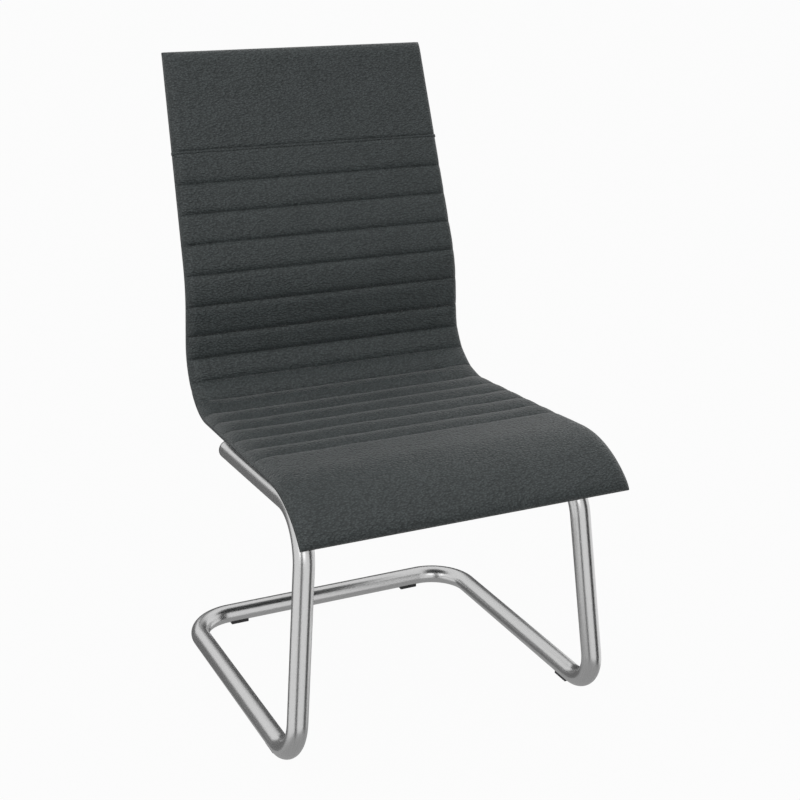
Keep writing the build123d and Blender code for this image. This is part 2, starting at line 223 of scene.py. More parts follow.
# %% [markdown]
# ## Dark cards
# Bright tube on a white ground would lose its outline, so a photographer stands dark cards just out of the
# picture: the metal mirrors them as dark lines along its edges. Here only mirror-like rays meet the cards.
# They throw no shadow and the camera doesn't see them. They reach below the floor, which isn't mirrored,
# and one more card lies under it and gives the tube's underside a middle grey.

# %% Cards for the metal to mirror
CARDS = {
    "right_card": {"place": (1.66, -1.54, -0.25), "size": (1.3, 4.5), "shade": 0.05},
    "near_card": {"place": (-1.49, -1.75, -0.25), "size": (0.75, 4.5), "shade": 0.1},
    "rear_left_card": {"place": (-0.57, 2.33, -0.80), "size": (3.6, 2.8), "shade": 0.18},
    "rear_card": {"place": (1.03, 2.28, -0.45), "size": (2.0, 3.7), "shade": 0.1},
}
LOW_CARD = {"place": (0, 0, -1.45), "size": (5.0, 5.0), "shade": 0.42}


def facing_chair(place):
    """The turn of an upright card that faces the chair."""
    return (Vector((0, 0, place[2])) - Vector(place)).to_track_quat("-Z", "Y").to_matrix()


def add_card(name, turn, place, size, shade):
    """A card that only mirror-like rays meet."""
    finish, tree = new_finish(name)
    shine = add_node(tree, "ShaderNodeEmission", None, {"Color": (shade, shade, shade, 1), "Strength": 1.0})
    add_node(tree, "ShaderNodeOutputMaterial", None, {"Surface": shine})
    finish.cycles.emission_sampling = "NONE"
    card = flat_panel(name, finish, size, place, turn)
    card.visible_camera = False
    card.visible_diffuse = False
    card.visible_shadow = False


for name, card in CARDS.items():
    add_card(name, facing_chair(card["place"]), **card)
add_card("low_card", LEVEL, **LOW_CARD)
print("cards:", [*CARDS, "low_card"])

# %% [markdown]
# ## Building blocks of a finish
# Real surfaces vary a little in colour, gloss and relief. The finishes below are put together from three
# blocks: noise, a colour between a dark and a light one, and a bump from a height. They are made in space or
# along the piece, so no picture has to be stretched round a bend.

# %% Blocks of a finish
MIX_DARK, MIX_LIGHT, MIX_COLOUR = 6, 7, 2  # places of a Mix node's colour sockets, which share their names


def cloudy(tree, place, scale, detail):
    """Noise between 0 and 1."""
    return add_node(tree, "ShaderNodeTexNoise", None,
                    {"Vector": place, "Scale": scale, "Detail": detail}, "Fac")


def blend(tree, share, dark, light):
    """A colour between a dark and a light one."""
    return add_node(tree, "ShaderNodeMix", {"data_type": "RGBA"},
                    {"Factor": share, MIX_DARK: dark, MIX_LIGHT: light}, MIX_COLOUR)


def relief(tree, strength, depth, height):
    """Normals bent by a height."""
    return add_node(tree, "ShaderNodeBump", None,
                    {"Strength": strength, "Distance": depth, "Height": height}, "Normal")


def surface(tree, sockets):
    """Closes a material's tree with a Principled shader."""
    shader = add_node(tree, "ShaderNodeBsdfPrincipled", None, sockets)
    add_node(tree, "ShaderNodeOutputMaterial", None, {"Surface": shader})


print("blocks ready: noise, colour, relief")

# %% [markdown]
# ## Leather
# The cover is dark grey-green leather with a pebbled grain. A photograph of leather would tile and stretch
# round the bends, so the grain is made in space: rounded cells a few millimetres wide, longer across the
# chair and bent out of shape by noise. The colour has painted light in it: the tops of the cells are
# painted paler as a highlight, and the valleys are darker as painted shade and a little rougher. A thin
# sheen lightens the leather where it is seen at a low angle.

# %% Leather finish
GRAIN_SIZE = 2.4 * MM
GRAIN_STRETCH = (0.6, 1.0, 1.0)
GRAIN_DEPTH = 1.0 * MM
GRAIN_BUMP = 0.8
GRAIN_SOFTNESS = 0.15
WAVER_RATE = 0.35            # waves to a grain
WAVER_REACH = 0.35           # of a grain
CELL_FALL = 1.4              # how fast a cell falls from its middle
PORES = 700.0                # to the metre
PORE_RISE = 0.2
TONES = 14.0                 # to the metre
FIELD_DETAIL = 2.0
# painted light in the colour: a painted highlight on each cell's top, fading into painted shade in the
# valleys
LIT_TOP_FALL = 1.5
LIT_TOP_POWER = 1.5
LIT_TOP_SHARE = 0.8
TONE_SHARE = 0.15
# colour of the painted highlight on the cell tops, and colour of the painted shade in the valleys
LEATHER_LIT_TOP = (0.070, 0.084, 0.085, 1)
LEATHER_SHADED_VALLEY = (0.0175, 0.0218, 0.0223, 1)
LEATHER_ROUGHNESS = 0.6
TOP_POLISH = 0.16            # less roughness on the tops
LEATHER_GLOSS = 0.34
LEATHER_SHEEN = 0.26
SHEEN_ROUGHNESS = 0.3


def leather_finish(name):
    """Pebbled leather on Object coordinates."""
    material, tree = new_finish(name)
    place = add_node(tree, "ShaderNodeTexCoord", None, None, "Object")
    waver = add_node(tree, "ShaderNodeTexNoise", None,
                     {"Vector": place, "Scale": WAVER_RATE / GRAIN_SIZE}, "Color")
    bent = add_node(tree, "ShaderNodeVectorMath", {"operation": "MULTIPLY_ADD"},
                    {0: waver, 1: (GRAIN_SIZE * WAVER_REACH,) * 3, 2: place})
    long = add_node(tree, "ShaderNodeVectorMath", {"operation": "MULTIPLY"}, {0: bent, 1: GRAIN_STRETCH})
    cells = add_node(tree, "ShaderNodeTexVoronoi", {"feature": "SMOOTH_F1"},
                     {"Vector": long, "Scale": 1 / GRAIN_SIZE, "Smoothness": GRAIN_SOFTNESS}, "Distance")
    pores = cloudy(tree, place, PORES, FIELD_DETAIL)
    tones = cloudy(tree, place, TONES, FIELD_DETAIL)
    height = 1 - cells ** 2 * CELL_FALL + pores * PORE_RISE
    # mask of painted light: 1 on the lit cell tops, 0 in the shaded valleys
    painted_lit_tops = cells.maths("MAXIMUM", 1 - cells * LIT_TOP_FALL, 0.0) ** LIT_TOP_POWER
    surface(tree, {
        "Base Color": blend(tree, painted_lit_tops * LIT_TOP_SHARE + tones * TONE_SHARE, LEATHER_SHADED_VALLEY, LEATHER_LIT_TOP),
        "Roughness": LEATHER_ROUGHNESS - height * TOP_POLISH,
        "Normal": relief(tree, GRAIN_BUMP, GRAIN_DEPTH, height),
        "Specular IOR Level": LEATHER_GLOSS,
        "Sheen Weight": LEATHER_SHEEN,
        "Sheen Roughness": SHEEN_ROUGHNESS,
    })
    return material


leather = leather_finish("grey_green_leather")
print("leather grain", GRAIN_SIZE / MM, "mm")

# %% [markdown]
# ## Satin steel
# The tube is satin steel: bright, but with reflections softened by fine lines that run along it. Lines
# made in space would cross the tube in its bends. The tube's own mesh therefore carries two attributes,
# the place along it and the place round it, so the lines can follow every bend.

# %% Steel of the tube
STEEL_DARK = (0.54, 0.54, 0.54, 1)
STEEL_LIGHT = (0.64, 0.64, 0.64, 1)
LINES = 1400.0               # to the metre round the tube
LINE_DETAIL = 3.0
LINE_SHRINK = 0.02           # makes the noise long along the tube
LINE_BUMP = 0.08
LINE_DEPTH = 0.1 * MM
CLOUDS = 120.0
CLOUD_DETAIL = 2.0
STEEL_ROUGHNESS = 0.2
LINE_ROUGHNESS = 0.08
CLOUD_ROUGHNESS = 0.05


def satin_steel_finish():
    """Steel with fine lines along the tube, from the tube's own attributes."""
    material, tree = new_finish("satin_steel")
    along = add_node(tree, "ShaderNodeAttribute", {"attribute_name": "along"}, None, "Fac")
    ring = add_node(tree, "ShaderNodeAttribute", {"attribute_name": "ring"}, None, "Vector")
    ring_x = add_node(tree, "ShaderNodeSeparateXYZ", None, {0: ring}, 0)
    ring_y = add_node(tree, "ShaderNodeSeparateXYZ", None, {0: ring}, 1)
    stretched = add_node(tree, "ShaderNodeCombineXYZ", None, {0: ring_x, 1: ring_y, 2: along * LINE_SHRINK})
    lines = cloudy(tree, stretched, LINES, LINE_DETAIL)
    clouds = cloudy(tree, stretched, CLOUDS, CLOUD_DETAIL)
    surface(tree, {
        "Base Color": blend(tree, lines, STEEL_DARK, STEEL_LIGHT),
        "Metallic": 1.0,
        "Roughness": STEEL_ROUGHNESS + lines * LINE_ROUGHNESS + clouds * CLOUD_ROUGHNESS,
        "Normal": relief(tree, LINE_BUMP, LINE_DEPTH, lines),
    })
    return material


satin_steel = satin_steel_finish()
print("steel lines", LINES, "to the metre")

# %% [markdown]
# ## Speckled finishes and plywood
# Plugs and glides are moulded black plastic with a faint spark-eroded texture, and screws are zinc plated.
# The brackets get a darker copy of the tube's steel. This is painted shade, so that their flat plates
# between rail and seat don't mirror the white world at full brightness, and it makes them darker than the
# tube.
# Foam and plywood are hidden inside. Thread is spun and dull. One recipe serves all but the plywood: a fine
# speckle in colour, gloss and relief.

# %% Speckled finishes
SPECK_DETAIL = 3.0
SPECK_BUMP = 0.3
SPECK_ROUGHNESS = 0.15
SPECKLED = {
    "zinc_plate": {"dark": (0.45, 0.46, 0.47, 1), "light": (0.62, 0.63, 0.64, 1),
                   "grain": 1.5 * MM, "metallic": 1.0, "rough": 0.3, "depth": 0.05 * MM},
    "black_plastic": {"dark": (0.008, 0.008, 0.009, 1), "light": (0.02, 0.02, 0.021, 1),
                      "grain": 0.6 * MM, "metallic": 0.0, "rough": 0.42, "depth": 0.06 * MM},
    "pale_foam": {"dark": (0.6, 0.55, 0.42, 1), "light": (0.8, 0.76, 0.66, 1),
                  "grain": 1.2 * MM, "metallic": 0.0, "rough": 0.8, "depth": 0.4 * MM},
    "dark_thread": {"dark": (0.008, 0.010, 0.010, 1), "light": (0.022, 0.026, 0.026, 1),
                    "grain": 0.4 * MM, "metallic": 0.0, "rough": 0.6, "depth": 0.1 * MM},
    # painted shade: the tube's steel made darker for the brackets
    "rolled_steel": {"dark": (0.36, 0.36, 0.36, 1), "light": (0.50, 0.50, 0.50, 1),
                     "grain": 2.0 * MM, "metallic": 1.0, "rough": 0.32, "depth": 0.05 * MM},
}


def speckled_finish(name, dark, light, grain, metallic, rough, depth):
    """A plain finish with a fine speckle in colour, gloss and relief."""
    material, tree = new_finish(name)
    place = add_node(tree, "ShaderNodeTexCoord", None, None, "Object")
    speck = cloudy(tree, place, 1 / grain, SPECK_DETAIL)
    surface(tree, {
        "Base Color": blend(tree, speck, dark, light),
        "Metallic": metallic,
        "Roughness": rough + speck * SPECK_ROUGHNESS,
        "Normal": relief(tree, SPECK_BUMP, depth, speck),
    })
    return material


speckled = {name: speckled_finish(name, **look) for name, look in SPECKLED.items()}
print("speckled finishes:", list(speckled))

# %% Plywood, and a finish for every CAD piece
PLY_STRETCH = (6.0, 60.0, 60.0)
PLY_SCALE = 6.0
PLY_DETAIL = 5.0
PLY_DARK = (0.42, 0.28, 0.15, 1)
PLY_LIGHT = (0.68, 0.5, 0.31, 1)
PLY_ROUGHNESS = 0.55
PLY_GRAIN_ROUGHNESS = 0.2


def plywood_finish():
    """Plywood with a grain that runs across the chair."""
    material, tree = new_finish("moulded_plywood")
    place = add_node(tree, "ShaderNodeTexCoord", None, None, "Object")
    stretched = add_node(tree, "ShaderNodeMapping", None, {"Vector": place, "Scale": PLY_STRETCH})
    grain = cloudy(tree, stretched, PLY_SCALE, PLY_DETAIL)
    surface(tree, {
        "Base Color": blend(tree, grain, PLY_DARK, PLY_LIGHT),
        "Roughness": PLY_ROUGHNESS + grain * PLY_GRAIN_ROUGHNESS,
    })
    return material


finishes = {
    "leather": leather,
    "satin_steel": satin_steel,
    "zinc_steel": speckled["zinc_plate"],
    "black_plastic": speckled["black_plastic"],
    "plywood": plywood_finish(),
    "foam": speckled["pale_foam"],
}
for subpart in frame["record"]["subparts"]:
    # the brackets get the darker steel, which is painted shade
    is_bracket = subpart["node"].endswith("_bracket")
    materials = nodes[subpart["node"]].data.materials
    materials.clear()
    materials.append(speckled["rolled_steel"] if is_bracket else finishes[subpart["material_slot"]])
print("finishes:", sorted(finishes))

# %% [markdown]
# ## Helpers for finished pieces
# Every finished piece is entered in the same way: it rides on the chair's one body and may stand for
# pieces of the CAD model. Geometry Nodes make what repeats or follows a path. Their result is kept as a
# plain mesh, because a piece is handed over without modifiers.


# %% Helpers for finished pieces
def dressed(name, mesh, material_slot, *stands_for):
    """Puts a finished mesh in the scene: smooth, on the chair's one body, in place of its CAD nodes."""
    piece = bpy.data.objects.new(name, mesh)
    scene.collection.objects.link(piece)
    mesh.polygons.foreach_set("use_smooth", [True] * len(mesh.polygons))
    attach(piece, "root")
    if stands_for:
        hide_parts(*stands_for)
    print(name, len(mesh.polygons), "faces")
    return piece


def as_plain_mesh(holder, name):
    """What an object's modifiers make of it, as a mesh of its own. The object itself is removed."""
    evaluated = holder.evaluated_get(bpy.context.evaluated_depsgraph_get())
    mesh = bpy.data.meshes.new_from_object(evaluated)
    mesh.name = name
    holder.modifiers.clear()
    bpy.data.objects.remove(holder)
    return mesh


def node_group(name, inputs):
    """An empty geometry tree with a geometry socket at both ends and named inputs for its sizes."""
    group = bpy.data.node_groups.new(name, "GeometryNodeTree")
    group.interface.new_socket("Geometry", in_out="INPUT", socket_type="NodeSocketGeometry")
    group.interface.new_socket("Geometry", in_out="OUTPUT", socket_type="NodeSocketGeometry")
    for label, kind in inputs.items():
        group.interface.new_socket(label, in_out="INPUT", socket_type=kind)
    entry = group.nodes.new("NodeGroupInput")
    return group, {socket.name: Value(group, socket) for socket in entry.outputs if socket.name}


def run_group(holder, group, values):
    """Puts the tree on an object. A modifier's input goes by its socket's identifier."""
    modifier = holder.modifiers.new(group.name, "NODES")
    modifier.node_group = group
    for item in group.interface.items_tree:
        if item.in_out == "INPUT" and item.name in values:
            modifier[item.identifier] = values[item.name]


print("helpers ready")

# %% [markdown]
# ## The bent tube
# On the real chair one straight tube is bent six times. It could be a curve with a bevel, but the bends
# have three different radii. Geometry Nodes can do what the bending machine does: take the corner points,
# round each corner by its own radius, and sweep a circle along the line. The CAD tube has the same axis,
# so the brackets still fit.

# %% Corner points of the tube
TUBE_RADIUS = 15.0 * MM
FLOOR_AXIS = 18.2 * MM       # height of the floor runs' centre line
FLOOR_HALF = 243.5 * MM      # half the distance between the floor runs
RAIL_HALF = 211.2 * MM       # the same for the seat rails
FRONT_Y = -258.692 * MM
REAR_Y = 227.308 * MM
LEG_HEIGHT = 361.6 * MM
LEG_BACK = 24.018 * MM       # how far the legs lean back
RAIL_LENGTH = 317.5 * MM
SEAT_FALL = math.radians(2.1)
BEND_RADII = [0, 76 * MM, 62 * MM, 67.5 * MM]  # open end, rail to leg, leg to floor, floor run to rear run

front_top = Vector((-RAIL_HALF, FRONT_Y + LEG_BACK, FLOOR_AXIS + LEG_HEIGHT))
rail_way = Vector((0, math.cos(SEAT_FALL), -math.sin(SEAT_FALL)))
left_half = [
    front_top + rail_way * RAIL_LENGTH,
    front_top,
    Vector((-FLOOR_HALF, FRONT_Y, FLOOR_AXIS)),
    Vector((-FLOOR_HALF, REAR_Y, FLOOR_AXIS)),
]
corners = left_half + [Vector((-p.x, p.y, p.z)) for p in reversed(left_half)]
print("tube corners:", [[round(c, 3) for c in p] for p in corners])

# %% Bend and sweep the tube
BEND_STEPS = 28
ROUND_STEPS = 64


def bent_tube_group():
    """Rounds a line's corners by each corner's own radius and sweeps a circle along it."""
    group, given = node_group("bent_tube", {
        "Tube Radius": "NodeSocketFloat", "Bend Steps": "NodeSocketInt", "Round Steps": "NodeSocketInt",
        "Finish": "NodeSocketMaterial"})
    radius = add_node(group, "GeometryNodeInputNamedAttribute", {"data_type": "FLOAT"},
                      {"Name": "bend_radius"})
    corner_line = add_node(group, "GeometryNodeMeshToCurve", None, {"Mesh": given["Geometry"]})
    rounded = add_node(group, "GeometryNodeFilletCurve", {"mode": "POLY"},
                       {"Curve": corner_line, "Count": given["Bend Steps"], "Radius": radius})
    length = add_node(group, "GeometryNodeSplineParameter", None, None, "Length")
    line = add_node(group, "GeometryNodeStoreNamedAttribute", {"data_type": "FLOAT", "domain": "POINT"},
                    {"Geometry": rounded, "Name": "along", "Value": length})
    circle = add_node(group, "GeometryNodeCurvePrimitiveCircle", {"mode": "RADIUS"},
                      {"Resolution": given["Round Steps"], "Radius": given["Tube Radius"]})
    place = add_node(group, "GeometryNodeInputPosition")
    ring = add_node(group, "GeometryNodeStoreNamedAttribute",
                    {"data_type": "FLOAT_VECTOR", "domain": "POINT"},
                    {"Geometry": circle, "Name": "ring", "Value": place})
    swept = add_node(group, "GeometryNodeCurveToMesh", None,
                     {"Curve": line, "Profile Curve": ring, "Fill Caps": True})
    realized = add_node(group, "GeometryNodeRealizeInstances", None, {"Geometry": swept})
    painted = add_node(group, "GeometryNodeSetMaterial", None,
                       {"Geometry": realized, "Material": given["Finish"]})
    add_node(group, "NodeGroupOutput", None, {"Geometry": painted})
    return group


line_mesh = bpy.data.meshes.new("tube_line")
line_mesh.from_pydata(corners, [(i, i + 1) for i in range(len(corners) - 1)], [])
radii = line_mesh.attributes.new("bend_radius", "FLOAT", "POINT")
radii.data.foreach_set("value", BEND_RADII + BEND_RADII[::-1])
tube_line = bpy.data.objects.new("tube_line", line_mesh)
scene.collection.objects.link(tube_line)
run_group(tube_line, bent_tube_group(), {
    "Tube Radius": TUBE_RADIUS, "Bend Steps": BEND_STEPS, "Round Steps": ROUND_STEPS, "Finish": satin_steel})
dressed("bent_tube", as_plain_mesh(tube_line, "bent_tube"), "satin_steel", "frame_tube")
print("bend radii", [round(r / MM, 1) for r in BEND_RADII], "mm")

# %% [markdown]
# ## Edge line of the shell
# Seen from the side, the shell's edge is a chain of straight runs and arcs: over the front lip, along the
# seat, round the tight bend and up the leaning back. It could be a free curve with handles, but runs and
# arcs have sizes that can be read. Every padded piece is laid on this line, so one function gives the
# place and the direction at any distance from the lip. Sizes on the shell are in millimetres and become
# metres in on_shell.

# %% The edge line
CREST = (-195.55, 426.10)    # y and z of the place where the lip's arc starts down from the seat
LIP_RADIUS = 147.0
LIP_TURN = math.radians(-53.8)
SEAT_RUN = 297.7
BEND_RADIUS = 93.4
BEND_TURN = math.radians(93.3)
LOW_BACK_RUN = 46.3
BACK_RADIUS = 222.0
BACK_TURN = math.radians(-19.6)
BACK_RUN = 326.2
EDGE_RUNS = [
    (LIP_RADIUS * abs(LIP_TURN), LIP_TURN),
    (SEAT_RUN, 0.0),
    (BEND_RADIUS * abs(BEND_TURN), BEND_TURN),
    (LOW_BACK_RUN, 0.0),
    (BACK_RADIUS * abs(BACK_TURN), BACK_TURN),
    (BACK_RUN, 0.0),
]
EDGE_LENGTH = sum(length for length, turn in EDGE_RUNS)
BEND_START = EDGE_RUNS[0][0] + EDGE_RUNS[1][0]
BEND_END = BEND_START + EDGE_RUNS[2][0]


def along_arc(y, z, angle, length, turn):
    """Place and direction after a straight run or an arc."""
    if not turn:
        return y + length * math.cos(angle), z + length * math.sin(angle), angle
    radius = length / turn
    end = angle + turn
    end_y = y + radius * (math.sin(end) - math.sin(angle))
    end_z = z - radius * (math.cos(end) - math.cos(angle))
    return end_y, end_z, end


lip_y, lip_z, lip_back = along_arc(*CREST, math.pi - SEAT_FALL, EDGE_RUNS[0][0], -LIP_TURN)
LIP = (lip_y, lip_z, lip_back - math.pi)


def edge(s):
    """Place and direction on the edge line, s mm from the lip."""
    y, z, angle = LIP
    for length, turn in EDGE_RUNS:
        step = min(s, length)
        y, z, angle = along_arc(y, z, angle, step, turn * step / length)
        s -= step
        if s <= 0:
            break
    return y, z, angle


def on_shell(x, s, height):
    """A point of the shell in metres: x across, s along the edge line, height towards the sitter."""
    y, z, angle = edge(s)
    return x * MM, (y - height * math.sin(angle)) * MM, (z + height * math.cos(angle)) * MM


print("edge line", round(EDGE_LENGTH, 1), "mm, lip at", [round(v, 2) for v in LIP[:2]])

# %% [markdown]
# ## Outline and sewn lines
# Seen from the front, the shell tapers in two straight steps. The long panel is sewn across at three
# pitches: wide on the seat, narrow in the bend and wide again on the back. Its last line also holds one
# side of the head welt.

# %% Widths and sewn lines
LIP_WIDTH = 500.5
BEND_WIDTH = 482.0
TOP_WIDTH = 436.4
WELT = 4.5
FIRST_SEAM = 210.0
SEAM_PITCHES = ((47.2, 5), (37.9, 4), (46.7, 6))

SEAMS = [FIRST_SEAM]
for pitch, count in SEAM_PITCHES:
    SEAMS += [SEAMS[-1] + pitch * (i + 1) for i in range(count)]
HEAD_SEAM = SEAMS[-1] + WELT
ALL_SEAMS = SEAMS + [HEAD_SEAM]


def seat_to_back(s, seat, back):
    """A size that changes from its seat value to its back value around the bend."""
    share = min(max((s - BEND_START) / (BEND_END - BEND_START), 0), 1)
    return seat + (back - seat) * share


def half_width(s):
    """Half the shell's width: two straight tapers that meet where the bend starts."""
    if s < BEND_START:
        return (LIP_WIDTH + (BEND_WIDTH - LIP_WIDTH) * s / BEND_START) / 2
    return (BEND_WIDTH + (TOP_WIDTH - BEND_WIDTH) * (s - BEND_START) / (EDGE_LENGTH - BEND_START)) / 2


print("sewn lines at", [round(s, 1) for s in SEAMS], "head seam", HEAD_SEAM)

# %% [markdown]
# ## Form of the padding
# Each sewn line draws the padding down, most at the line itself, and between two lines it stands full.
# Towards the sides it falls in a roll to a thin edge, wide on the seat and narrow on the back, and there
# the seat's sewn lines draw less. No filling is quite even and a tight thread puckers the leather beside
# it, so two small fields of noise are added. A cloth simulation could find such a form. Here the places
# and depths of the channels are known, so it is written as one height for each place (across, along), and
# the same rule serves all panels.

# %% How the sewn lines draw the padding down
SEAT_RISE = 8.4              # height of the full padding over the edge line
BACK_RISE = 10.9
SEAT_PULL = 8.4              # how far a sewn line draws it down
BACK_PULL = 4.4
HEAD_PULL = 1.6
SEAM_REACH = 23.3            # and how far from the line that is felt
HEAD_REACH = 9.0
SEAT_SHARPNESS = 2.0         # a higher power makes a narrower groove
BACK_SHARPNESS = 5.0
SIDE_PULL = 0.35             # share of the pull that is left at the seat's sides
SIDE_FADE = 60.0


def smooth(share):
    """An even change from 0 to 1 that starts and ends gently."""
    share = min(max(share, 0.0), 1.0)
    return share * share * (3 - 2 * share)


def pull(s, seam, depth, reach):
    """How far a sewn line draws the padding down: most at the line, nothing beyond its reach."""
    on_plain_panel = s < SEAMS[0] or s > HEAD_SEAM
    sharpness = BACK_SHARPNESS if on_plain_panel else seat_to_back(s, SEAT_SHARPNESS, BACK_SHARPNESS)
    return depth * (1 - min(abs(s - seam) / reach, 1.0)) ** sharpness


def rise(from_side, s):
    """Height of the padding over the edge line, before it rolls down to the rim."""
    drawn = sum(pull(s, seam, seat_to_back(seam, SEAT_PULL, BACK_PULL), SEAM_REACH) for seam in SEAMS[:-1])
    drawn += sum(pull(s, seam, HEAD_PULL, HEAD_REACH) for seam in (SEAMS[-1], HEAD_SEAM))
    at_side = seat_to_back(s, SIDE_PULL, 1.0)
    share = at_side + (1 - at_side) * smooth(from_side / SIDE_FADE)
    return seat_to_back(s, SEAT_RISE, BACK_RISE) - drawn * share


print("a seat channel swells", SEAT_PULL, "mm, a back channel", BACK_PULL, "mm")

# %% Rolls to the rim
LIP_ROLL = 18.0              # width of the roll at the sides
SEAT_ROLL = 36.0
BACK_ROLL = 13.0
END_ROLL = 16.0              # the same at the lip and at the top edge
SEAT_NOSE = 4.5              # height of the shell's thin edge, behind the edge line
BACK_NOSE = 2.6
RIM_HALF = 1.2               # half the rim's thickness


def bulge(share):
    """Quarter round, from 0 at the edge to 1 in the full padding."""
    return math.sqrt(max(0.0, 1 - (1 - min(max(share, 0.0), 1)) ** 2))


def rim_level(s):
    """Height of the middle of the rim, close above the shell's own rear edge."""
    return RIM_HALF - seat_to_back(s, SEAT_NOSE, BACK_NOSE)


def roll_width(s):
    """Width of the roll beside the rim: narrow at the lip and on the back, wide on the seat."""
    if s < SEAMS[0]:
        return LIP_ROLL + (SEAT_ROLL - LIP_ROLL) * s / SEAMS[0]
    return seat_to_back(s, SEAT_ROLL, BACK_ROLL)


def rolled(from_side, s, top):
    """A height that falls to the rim in a quarter round at the sides, at the lip and at the top edge."""
    fall = bulge(from_side / roll_width(s)) * bulge(min(s, EDGE_LENGTH - s) / END_ROLL)
    return rim_level(s) + (top - rim_level(s)) * fall


print("roll at the lip", LIP_ROLL, "mm, on the seat", SEAT_ROLL, "mm, on the back", BACK_ROLL, "mm")

# %% Unevenness, and both faces of the padding
RIM_ROUND = 2.4
PAD_UNDER = -1.9             # height of the underside
UNDER_STEP = 8.0             # it keeps the thin edge's level over this width and rises over the next
UNEVEN = 0.7                 # of the filling: height and size
UNEVEN_SIZE = 48.0
PUCKER = 0.5                 # of the leather: height, size and reach from the sewn line
PUCKER_SIZE = 9.0
PUCKER_REACH = 6.0
UNEVEN_LAYER = 0.5           # two layers of one noise, so that the fields differ
PUCKER_LAYER = 7.5


def slack(x, s):
    """Small unevenness of the filling, and puckers beside the nearest sewn line."""
    filling = UNEVEN * noise.noise(Vector((x / UNEVEN_SIZE, s / UNEVEN_SIZE, UNEVEN_LAYER)))
    seam = min(ALL_SEAMS, key=lambda place: abs(place - s))
    pucker = PUCKER * noise.noise(Vector((x / PUCKER_SIZE, seam, PUCKER_LAYER)))
    return filling + pucker * math.exp(-abs(s - seam) / PUCKER_REACH)


def pad_top(x, from_side, s):
    """Upper face of the padding."""
    return rolled(from_side, s, rise(from_side, s) + slack(x, s))


def pad_under(x, from_side, s):
    """Underside of the padding: level in the middle, and closed to the rim at its edges."""
    nose = -seat_to_back(s, SEAT_NOSE, BACK_NOSE)
    share = min(max((from_side - UNDER_STEP) / UNDER_STEP, 0.0), 1.0)
    closing = bulge(from_side / RIM_ROUND) * bulge(min(s, EDGE_LENGTH - s) / RIM_ROUND)
    return rim_level(s) + (nose + (PAD_UNDER - nose) * share - rim_level(s)) * closing


print("padding where the back starts:", round(pad_top(0, half_width(BEND_END), BEND_END), 1), "mm high")

# %% [markdown]
# ## Padded panels
# A panel is a closed form: a top sheet and an underside over the same grid of places, joined at the rim.
# It could be a plane with a subdivision modifier, but that rounds the sewn lines away. Here the grid
# itself is fine where the leather turns sharply, beside each sewn line and at the rim, and wide elsewhere.

# %% Grid of a panel
SIDE_STEPS = [0, 0.15, 0.5, 1.0, 1.7, 2.4, 3.5, 5, 6.5, 8, 10, 12, 14, 17, 21, 26, 32, 38, 45, 53]
MIDDLE_STEPS = 72
ROW_STEP = 5
EASE_SHARES = (0, 0.06, 0.14, 0.24, 0.36, 0.5, 0.65, 0.82)


def columns(s):
    """Places across the shell with their distance from the nearer side."""
    half = half_width(s)
    inner = half - SIDE_STEPS[-1]
    middle = [inner * (2 * i / MIDDLE_STEPS - 1) for i in range(1, MIDDLE_STEPS)]
    left = [step - half for step in SIDE_STEPS]
    right = [-x for x in reversed(left)]
    return [(x, half - abs(x)) for x in left + middle + right]


def spread(start, end):
    """Evenly spaced places from start to end, no further apart than the row step."""
    count = math.ceil((end - start) / ROW_STEP)
    return [start + (end - start) * i / count for i in range(count + 1)]


def eased(edge_place, inward, length):
    """Places that crowd towards an edge."""
    return [edge_place + inward * length * share ** 2 for share in EASE_SHARES]


def rows_between(start, start_ease, end, end_ease):
    """Places along the edge line that crowd towards both ends."""
    rows = eased(start, 1, start_ease) + spread(start + start_ease, end - end_ease)
    return rows + eased(end, -1, end_ease)[::-1]


print(len(columns(0)), "columns across a panel")

# %% Skin of a panel
WELD = 0.002                 # mm


def skin(name, rows, upper, lower):
    """Closed leather mesh between two heights, each a function of x, the distance from the side and s."""
    mesh = bmesh.new()
    sheets = []
    for height in (upper, lower):
        sheets.append([[mesh.verts.new(on_shell(x, s, height(x, from_side, s)))
                        for x, from_side in columns(s)] for s in rows])
    top, under = sheets
    last_row, last_column = len(rows) - 1, len(top[0]) - 1
    for i in range(last_row):
        for j in range(last_column):
            for sheet in sheets:
                mesh.faces.new((sheet[i][j], sheet[i][j + 1], sheet[i + 1][j + 1], sheet[i + 1][j]))
        for j in (0, last_column):
            mesh.faces.new((top[i][j], top[i + 1][j], under[i + 1][j], under[i][j]))
    for i in (0, last_row):
        for j in range(last_column):
            mesh.faces.new((top[i][j], top[i][j + 1], under[i][j + 1], under[i][j]))
    bmesh.ops.remove_doubles(mesh, verts=mesh.verts, dist=WELD * MM)
    bmesh.ops.recalc_face_normals(mesh, faces=mesh.faces)
    data = bpy.data.meshes.new(name)
    mesh.to_mesh(data)
    mesh.free()
    data.materials.append(leather)
    return data


print("points closer than", WELD, "mm are welded")

# %% The three padded panels
CHANNEL_SHARES = [0, 0.008, 0.02, 0.04, 0.07, 0.11, 0.16, 0.22, 0.3, 0.4]
CHANNEL_SHARES += [0.5] + [1 - share for share in reversed(CHANNEL_SHARES[2:])]

